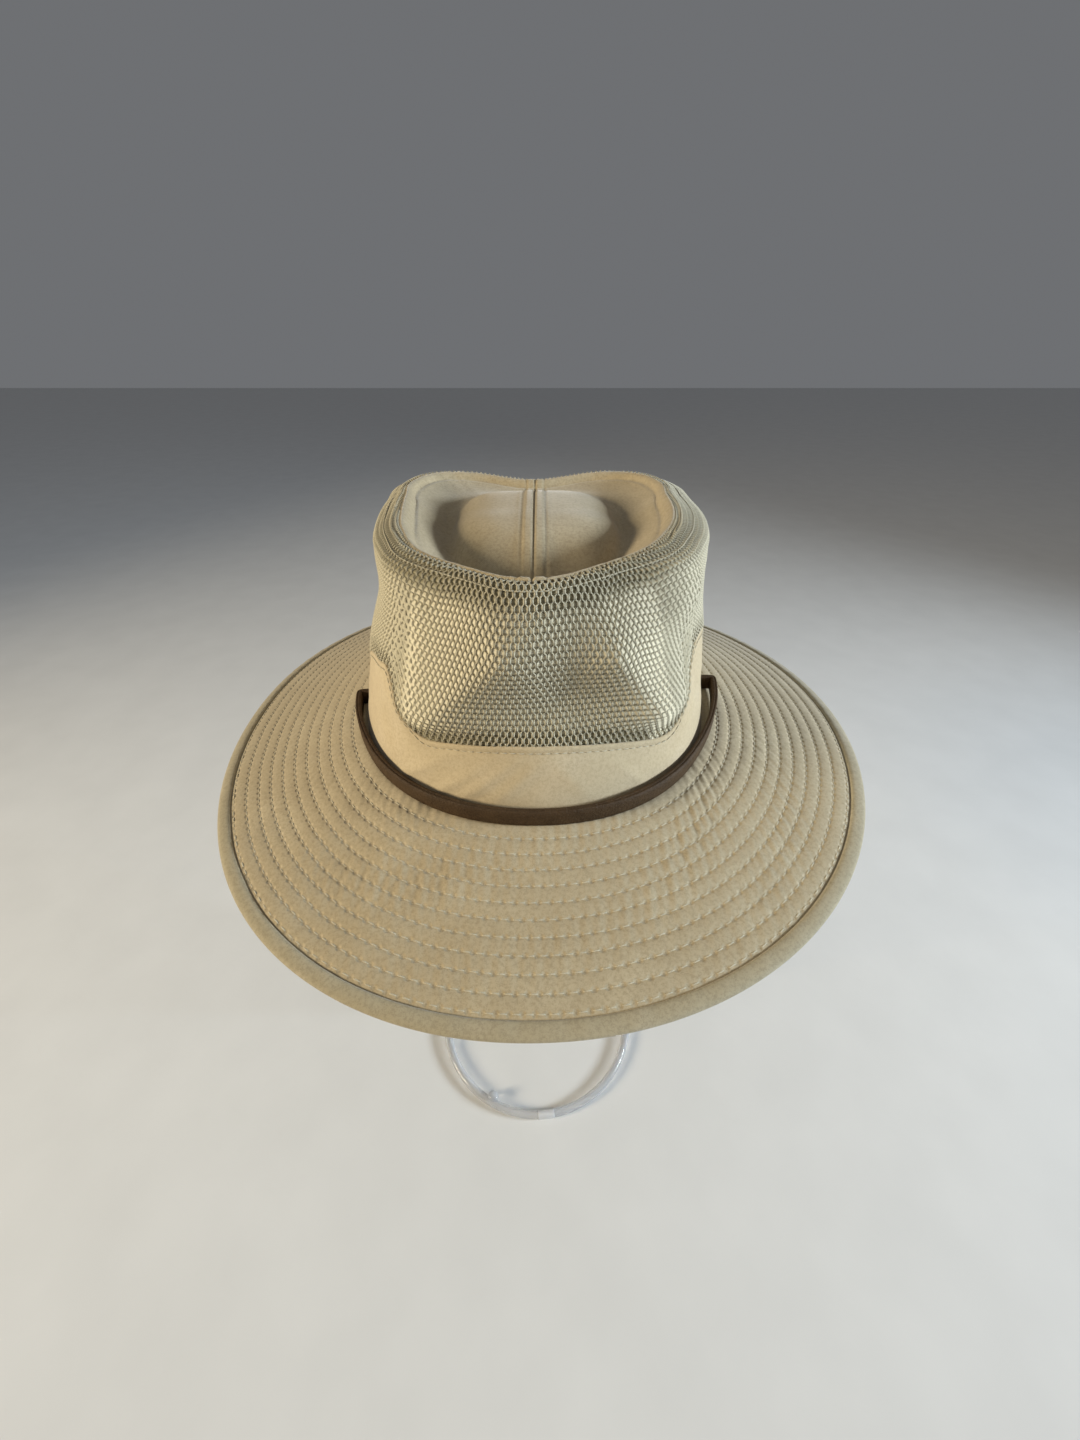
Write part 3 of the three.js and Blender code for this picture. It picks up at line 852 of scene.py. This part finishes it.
def knit_wall():
    """The flat back of the knit, ribbed by its rows. Beside its seams it lies deeper."""
    angles = np.linspace(-math.pi, math.pi, 281)
    steps_up = 190
    grid = {}

    def marks_between(start, end):
        return np.linspace(start, end, steps_up)

    for angle in angles:
        marks, height, over, below = wall_run(angle, marks_between)
        above = height - band_top(angle)
        deep = bell(above, 0, 5) + bell(np.maximum(below, 0), 0, 7)
        beside = beside_front(angle)
        rib = (0.65 + 0.6 * beside) * np.sin(TURN * marks / ZIGZAG) ** 2 * (1 - smooth(over, 0, 1))
        rib = rib + 0.25 * beside * (1 - deep)
        point = wall_point(angle, height - 0.5 * smooth(over, 0, 1), rib - 0.75 - 0.5 * deep - over)
        past_front = smooth(abs(math.degrees(angle)), 30, 40)
        # The UV holds the height above the band (one unit more past the front) and the depth under the rim.
        # knit_back places its painted shade and painted light by them.
        grid[angle] = point, above / UV_MM + past_front, np.maximum(below, 0) / UV_MM

    def look(part):
        return lambda a, b: np.array([grid[x][part][int(y)] for x, y in zip(a, b)])

    return surface("knit_back_wall", angles, np.arange(steps_up), look(0), HAT,
                   lambda a, b: (look(1)(a, b), look(2)(a, b)))


def rim_stitches():
    """The chain of thread that holds the mesh round the rim of the crown."""
    angles, around = even_angles(RIM_STITCHES)

    def seam(angle):
        return wall_point(angle, rim_height(angle) - 1.6, 0.6)

    here = seam(angles)
    stitch = stitch_template(0.97 * around / RIM_STITCHES, 0.55, 0.5, 0.3)
    return scattered("rim_stitches", stitch, here, seam(angles + AHEAD) - here, here * [1, 1, 0])


def band_stitches():
    """The stitches just under the upper edge of the light band."""
    def seam(angle):
        return wall_point(angle, band_top(angle) - 2.3, 0.42)

    run = run_along(wall_point(FINE_ANGLES, band_top(FINE_ANGLES) - 2.3, 0.0))
    angles = np.interp(np.arange(0, run[-1] - 1, BAND_STITCH_PITCH), run, FINE_ANGLES)
    here = seam(angles)
    stitch = stitch_template(2.7, 0.42, 0.42, 0.3)
    return scattered("band_stitches", stitch, here, seam(angles + AHEAD) - here, here * [1, 1, 0])


def band_top(angle):
    """Height of the light band's upper edge, which covers the foot of the mesh."""
    return mesh_seam(angle) + 0.4


def band_wrinkles(angle, height):
    """Slanting wrinkles and a gentle unevenness of the light band."""
    degrees = np.degrees(turned(angle))
    lines = 0.0
    for middle, low, slant, wide, tall in BAND_WRINKLES:
        along = (height - low) * slant
        lines = lines + tall * bell(degrees, middle + along, wide) * bell(height, low, 9)
    return 1.5 * lines + 0.3 * np.sin(degrees / 6.3 + height / 7) * np.sin(height / 5.1 + 1)


def crown_band():
    """The light band: a folded upper edge that stands a little proud of the mesh."""
    angles = np.linspace(-math.pi, math.pi, 541)
    face = [(share, 0.12 + 0.3 * share, 0) for share in np.arange(0.06, 0.9, 0.065)]
    fold = [(1, 0.1, -2.6), (1, 0.05, -2.2), (1, 0.3, -1.7), (1, 0.5, -1), (1, 0.45, -0.35), (1, 0.1, 0),
            (1, -0.5, -0.1), (1, -1.1, -1), (0.6, -1.2, 0), (0.3, -1.2, 0), (0, -1.2, -1.4)]
    shares, outs, lifts = np.array([(0, 0.1, -1.4), *face, *fold, (0, 0.1, -1.4)]).T

    def place(angle, at):
        share, out, lift = (part[at.astype(int)] for part in (shares, outs, lifts))
        height = band_top(angle) * share + lift
        out = out + band_wrinkles(angle, height) * smooth(height, 0, 6) * (1 - smooth(share, 0.8, 0.97))
        return wall_point(angle, height, out)

    return surface("crown_band_cloth", angles, np.arange(len(shares)), place, HAT,
                   lambda a, b: (a * 90 * MM, b * 3 * MM))


def leather_band():
    """The leather band, bowed out at its ends, where it turns in through the crown."""
    half = LEATHER_THICKNESS / 2
    angles = np.radians(np.linspace(LEATHER_LEFT_END, LEATHER_RIGHT_END, 161))
    inset = half / CROWN_HALF_WIDTH
    middle = beside_foot(np.clip(angles, angles[0] + inset, angles[-1] - inset),
                         leather_air(angles) + half, 0.0)
    tails = []
    for angle in (angles[0] + inset, angles[-1] - inset):
        start = beside_foot(angle, leather_air(angle) + half, 0.0)
        tail = beside_foot(angle, -LEATHER_TAIL + 1.0, 0.0)
        tails.append(start + (tail - start) * np.linspace(1, 0.06, 12)[:, None])
    line = np.concatenate([tails[0], middle[1:-1], tails[1][::-1]])
    run = run_along(line)
    kernel = np.hanning(9)
    kernel /= kernel.sum()

    def softened(values):
        even = np.interp(np.arange(0, run[-1], 0.35), run, values)
        return np.convolve(np.pad(even, 4, mode="edge"), kernel, "valid")

    line = np.stack([softened(values) for values in line.T], -1)[::3]
    forward = np.gradient(line, axis=0)
    forward /= np.linalg.norm(forward, axis=-1, keepdims=True)
    outward = np.cross(forward, [0, 0, 1])
    tall, r, back = LEATHER_HEIGHT, 0.45, -half - 0.5
    section = [(back, r), (back + r, 0), (half - r, 0), (half, r), (half, tall * 0.3),
               (half, tall * 0.6), (half, tall - r), (half - r, tall), (0.22, tall), (0.06, tall - 0.35),
               (-0.1, tall), (back + r, tall), (back, tall - r), (back, tall / 2), (back, r)]
    section = np.array(section)

    def place(a, b):
        i, j = a.astype(int), b.astype(int)
        point = line[i] + outward[i] * section[j, :1]
        point[:, 2] = section[j, 1] + LEATHER_LIFT + LEATHER_WAVE * np.sin(i / 37)
        return point

    band = surface("leather_band_strip", np.arange(len(line)), np.arange(len(section)), place, HAT,
                   lambda a, b: (a * 1.05 * MM, b * MM))
    return close_up(band)


# The brim.


def channel_phases():
    """Where the puckers of each channel between stitch rows start, drifting from row to row."""
    chance = np.random.default_rng(11)
    first = np.cumsum(chance.normal(0, 0.55, ROW_COUNT + 2))
    second = np.cumsum(chance.normal(0, 0.9, ROW_COUNT + 2))
    return first, second


def brim_relief(angle, out):
    """Puffed channels between the stitch rows, crossed by small radial puckers."""
    first, second = CHANNELS
    row = (out - FIRST_ROW) / ROW_PITCH
    channel = np.clip(np.floor(row).astype(int) + 1, 0, ROW_COUNT + 1)
    share = row - np.floor(row)
    inside = (channel > 0) & (channel <= ROW_COUNT - 1)
    arch = np.sin(np.pi * np.clip(share, 0, 1))
    puff = np.where(inside, 0.5 * arch**0.7, 0.3 * arch)
    puff = np.where(channel == 0, 0.3 * np.sin(np.pi * np.clip((out - 2) / (FIRST_ROW - 2), 0, 1)), puff)
    degrees = np.degrees(turned(angle))
    puff = puff * (1 - 0.5 * smooth(-degrees, 25, 70))
    strength = 0.1 + 0.48 * bell(degrees, 33, 24) + 0.32 * bell(degrees, -19, 15)
    strength += 0.12 * bell(degrees, 120, 50)
    around = 600 + TURN * out
    waves = np.sin(angle * np.round(around / 9.6) + first[channel])
    waves = 0.45 * waves + 0.55 * np.sin(angle * np.round(around / 4.3) + second[channel])
    drift = 0.6 + 0.4 * np.sin(angle * 9 + channel)
    broad = 0.5 * bell(degrees, -38, 30) * np.sin(degrees / 2.1 + out / 30) * np.sin(out / 9 + degrees / 14)
    squeezed = 0.22 * bell(degrees, -52, 26) * (channel == ROW_COUNT) * np.sin(angle * 311)
    strength = strength * (1 - 0.6 * smooth(out, 45, 68))
    return puff + strength * waves * drift * (0.3 + 0.7 * arch) + broad + squeezed


def brim():
    """The two layers of the brim, with a puffed upper face and a plain lower one."""
    angles = np.radians(both_ways(steps((0, 70, 0.4), (70, 180, 0.8))))
    shares = np.array([0, 0.07, 0.2, 0.36, 0.5, 0.64, 0.8, 0.93])
    rows = FIRST_ROW + ROW_PITCH * np.arange(ROW_COUNT)
    stations = [-1, 0.5, 1.7, 3, 4.4, 5.8, 7]
    for row in rows[:-1]:
        stations += list(row + ROW_PITCH * shares)
    stations += [rows[-1], rows[-1] + 0.6, rows[-1] + 1.2, rows[-1] + 1.7, rows[-1] + 4, rows[-1] + 6.2]
    over = [(out, 0.0) for out in stations]
    under = [(out, 1.0) for out in (74.4, 71, 66, 58, 50, 42, 34, 26, 18, 10, 4, -1)]
    outs, below = np.array([*over, *under, over[0]]).T

    def place(angle, at):
        i = at.astype(int)
        out, down = outs[i], below[i]
        lift = brim_relief(angle, out) * (1 - smooth(out, 68.6, 69.5))
        lift -= 0.75 * smooth(out, 68.9, 69.9)
        return on_brim(angle, out, np.where(down > 0, -BRIM_THICKNESS, lift))

    return surface("brim_cloth_layers", angles, np.arange(len(outs)), place, HAT,
                   lambda a, at: (a / TURN, outs[at.astype(int)] / UV_MM))


def brim_stitches():
    """The threads of the brim's stitch rows, each in its shallow groove."""
    places, forwards, ups = [], [], []
    for row in range(ROW_COUNT):
        count = FIRST_STITCHES + MORE_STITCHES * row
        out = np.full(count, FIRST_ROW + ROW_PITCH * row)
        angle = (np.arange(count) + 0.5 - ROW_SHIFT * row) / count * TURN
        lift = brim_relief(angle, out) + 0.12
        here = on_brim(angle, out, lift)
        places.append(here)
        forwards.append(on_brim(angle + AHEAD, out, lift) - here)
        side = on_brim(angle, out + 0.5, lift) - here
        ups.append(np.cross(side, forwards[-1]))
    places, forwards, ups = (np.concatenate(part) for part in (places, forwards, ups))
    ups *= np.sign(ups[:, 2:])
    ups /= np.linalg.norm(ups, axis=-1, keepdims=True)
    stitch = stitch_template(STITCH_LENGTH, 0.52, 0.46, 0.35)
    return scattered("brim_stitches", stitch, places, forwards, ups)


def brim_binding():
    """The strip folded over the brim's edge, with a soft round fold."""
    section = np.array([
        (69.75, -1.0), (69.85, -0.3), (70.15, 0.25), (70.8, 0.62), (71.8, 0.8), (73, 0.82), (74.2, 0.68),
        (75.1, 0.35), (75.75, -0.15), (76, -0.75), (75.8, -1.35), (75.2, -1.85), (74.2, -2.15),
        (72.5, -2.3), (71, -2.3), (69.9, -2.15), (69.7, -1.85), (70.2, -1.65), (74.6, -1.65), (74.9, -0.7),
        (74.6, 0.1), (71, 0.1), (70.2, -0.8), (69.75, -1.0),
    ])
    angles = np.linspace(-math.pi, math.pi, 481)

    def place(angle, at):
        out, lift = section[at.astype(int)].T
        top = smooth(lift, -0.2, 0.5)
        lift = lift + top * (0.08 * np.sin(angle * 77) + 0.06 * np.sin(angle * 131 + 2))
        return on_brim(angle, out, lift)

    return surface("brim_binding_strip", angles, np.arange(len(section)), place, HAT,
                   lambda a, b: (a * 150 * MM, b * MM))


# The stand.


def rod_ring():
    """The round rod of the stand's ring."""
    turns = np.linspace(0, TURN, 25)

    def place(angle, turn):
        return polar(angle, RING_RADIUS + ROD_RADIUS * np.cos(turn), ROD_RADIUS + ROD_RADIUS * np.sin(turn))

    return surface("stand_ring_rod", np.linspace(-math.pi, math.pi, 145), turns, place, STAND)


def ring_bead():
    """The small clear foot glued to the ring's inner side."""
    bm = bmesh.new()
    bmesh.ops.create_uvsphere(bm, u_segments=32, v_segments=20, radius=BEAD_RADIUS * MM)
    place = polar(math.radians(BEAD_DEGREES), RING_RADIUS - ROD_RADIUS, BEAD_RADIUS)
    bmesh.ops.translate(bm, verts=bm.verts, vec=Vector(STAND + place * MM))
    return bpy.data.objects.new("stand_ring_bead", baked("stand_ring_bead", bm))


def ring_joint():
    """The short sleeve over the ends of the ring's rod, with rounded ends."""
    first, last = JOINT_DEGREES
    degrees = np.array([first, first, *np.linspace(first + 0.4, last - 0.4, 13), last, last])
    radii = ROD_RADIUS + np.array([-0.4, 0.05, *[JOINT_EXTRA] * 13, 0.05, -0.4])

    def place(at, turn):
        angle, radius = np.radians(degrees[at.astype(int)]), radii[at.astype(int)]
        height = ROD_RADIUS + JOINT_EXTRA + radius * np.sin(turn)
        return polar(angle, RING_RADIUS + radius * np.cos(turn), height)

    sleeve = surface("stand_ring_joint", np.arange(len(degrees)), np.linspace(0, TURN, 25), place, STAND)
    return close_up(sleeve)


def lathe(name, profile, segments, origin):
    """A turned piece from a profile of (distance, height) that starts and ends on its axis."""
    bm = bmesh.new()
    chain = [bm.verts.new((far * MM, 0, high * MM)) for far, high in profile]
    edges = [bm.edges.new(pair) for pair in zip(chain, chain[1:])]
    bmesh.ops.spin(bm, geom=[*chain, *edges], cent=(0, 0, 0), axis=(0, 0, 1), angle=TURN,
                   steps=segments, use_merge=True)
    bmesh.ops.remove_doubles(bm, verts=bm.verts, dist=1e-6)
    bmesh.ops.translate(bm, verts=bm.verts, vec=Vector(origin))
    bmesh.ops.recalc_face_normals(bm, faces=bm.faces)
    return bpy.data.objects.new(name, baked(name, bm))


def rounded_post():
    """The upright rod, with softened ends."""
    low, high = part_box("stand_post")
    length = (high.z - low.z) / MM
    r = 0.6
    profile = [(0, 0), (POST_RADIUS - r, 0), (POST_RADIUS, r), (POST_RADIUS, length - r),
               (POST_RADIUS - r, length), (0, length)]
    return lathe("stand_post_rod", profile, 32, [*STAND[:2], low.z])


def rounded_top():
    """The domed pad under the crown's tip."""
    low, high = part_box("stand_top")
    depth = (high.z - low.z) / MM
    widest = math.asin(PAD_RADIUS / PAD_ROUNDING)
    dome = [(PAD_ROUNDING * math.sin(turn), depth + PAD_ROUNDING * (math.cos(turn) - 1))
            for turn in np.linspace(widest, 0, 9)]
    profile = [(0, 0), (PAD_RADIUS - 0.5, 0), (PAD_RADIUS, 0.5), *dome[:-1], (0, depth)]
    return lathe("stand_top_pad", profile, 40, [*STAND[:2], low.z])


def rounded_crossbar():
    """The rod that lies across the ring."""
    low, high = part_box("stand_crossbar")
    length = (high.x - low.x) / MM
    bar = lathe("stand_crossbar_rod", [(0, 0), (ROD_RADIUS, 0), (ROD_RADIUS, length), (0, length)], 24,
                [0, 0, 0])
    for vert in bar.data.vertices:
        x, y, z = vert.co
        vert.co = (low.x + z, (low.y + high.y) / 2 + y, STAND[2] + ROD_RADIUS * MM + x)
    return close_up(bar)


# The room.


def camera():
    """A wide lens close above the front of the brim, looking down."""
    data = bpy.data.cameras.new("camera")
    data.lens = LENS
    data.sensor_width = SENSOR_WIDTH
    data.clip_start = 0.01
    eye = bpy.data.objects.new("camera", data)
    eye.location = Vector(HAT + np.array(EYE) * MM)
    eye.rotation_euler = (math.radians(EYE_TILT), 0, 0)
    bpy.context.scene.collection.objects.link(eye)
    bpy.context.scene.camera = eye


def lamp(name, place, size, power, colour, spread):
    """A rectangular lamp that faces the crown."""
    data = bpy.data.lights.new(name, "AREA")
    data.shape = "RECTANGLE"
    data.size, data.size_y = size
    data.energy = power
    data.spread = math.radians(spread)
    data.color = colour
    light = bpy.data.objects.new(name, data)
    light.location = place
    crown = Vector(HAT) + Vector((0, 0, 0.03))
    light.rotation_euler = (crown - Vector(place)).to_track_quat("-Z", "Y").to_euler()
    bpy.context.scene.collection.objects.link(light)


def room():
    """The lamps, the faint light from all round and the pale floor."""
    for settings in LAMPS:
        lamp(*settings)
    world = bpy.data.worlds.new("room")
    world.use_nodes = True
    background = world.node_tree.nodes["Background"]
    background.inputs["Color"].default_value = (0.92, 0.95, 1, 1)
    background.inputs["Strength"].default_value = 0.17
    bpy.context.scene.world = world
    bm = bmesh.new()
    bmesh.ops.create_grid(bm, x_segments=1, y_segments=1, size=FLOOR_HALF)
    floor = bpy.data.objects.new("floor", baked("floor", bm))
    pale = Finish("pale_floor", Roughness=0.8)
    pale.shader.inputs["Specular IOR Level"].default_value = 0.1
    grain = pale.noise(pale.place(), 60, 3)
    pale.colour(pale.ramp(grain, (0.3, (0.66, 0.66, 0.655)), (0.7, (0.69, 0.69, 0.685))))
    floor.data.materials.append(pale.material)
    bpy.context.scene.collection.objects.link(floor)
    bpy.context.scene.view_settings.view_transform = "Standard"


HAT = hat_place()
STAND = stand_place()
CHANNELS = channel_phases()

camera()
room()

khaki = brim_cloth().material
keep(crown_tip(), "tip_cloth", cloth("tip_cloth", *SHADED_TAN, weave=0.12).material, "crown_tip")
yarn = thread("knit_thread", (0.515, 0.467, 0.335)).material
keep(knit_wall(), "knitted_mesh", knit_back().material, "crown_mesh")
for part in crown_threads():
    keep(part, "knitted_mesh", yarn, "crown_mesh")
keep(rim_stitches(), "knitted_mesh", yarn, "crown_mesh")
keep(crown_band(), "band_cloth", cloth("band_cloth", *SAND, weave=0.08).material, "crown_band")
keep(leather_band(), "leather", leather().material, "leather_band")
keep(brim(), "brim_cloth", khaki, "brim")
stitching = thread("stitch_thread", (0.6, 0.54, 0.39)).material
keep(band_stitches(), "band_cloth", stitching, "crown_band")
keep(brim_stitches(), "brim_cloth", stitching, "brim")
binding = cloth("binding_cloth", *SHADED_OLIVE, weave=0.1).material
keep(brim_binding(), "brim_cloth", binding, "brim_binding")
# Painted light: each acrylic keeps a share of white that lightens it, and the ring keeps more of it than
# the other rods.
glass = acrylic("clear_acrylic", 0.01, 0.84).material
ring_glass = acrylic("ring_acrylic", 0.01, 0.74).material
# Painted highlight: the joint is whiter and rougher than the ring, standing in for the bright reflections
# on it.
joint_glass = acrylic("joint_acrylic", 0.12, 0.55).material
keep(rod_ring(), "clear_acrylic", ring_glass, "stand_base_ring")
keep(ring_bead(), "clear_acrylic", glass, "stand_base_ring")
keep(ring_joint(), "clear_acrylic", joint_glass, "stand_base_ring")
keep(rounded_crossbar(), "clear_acrylic", glass, "stand_crossbar")
keep(rounded_post(), "clear_acrylic", glass, "stand_post")
keep(rounded_top(), "clear_acrylic", glass, "stand_top")
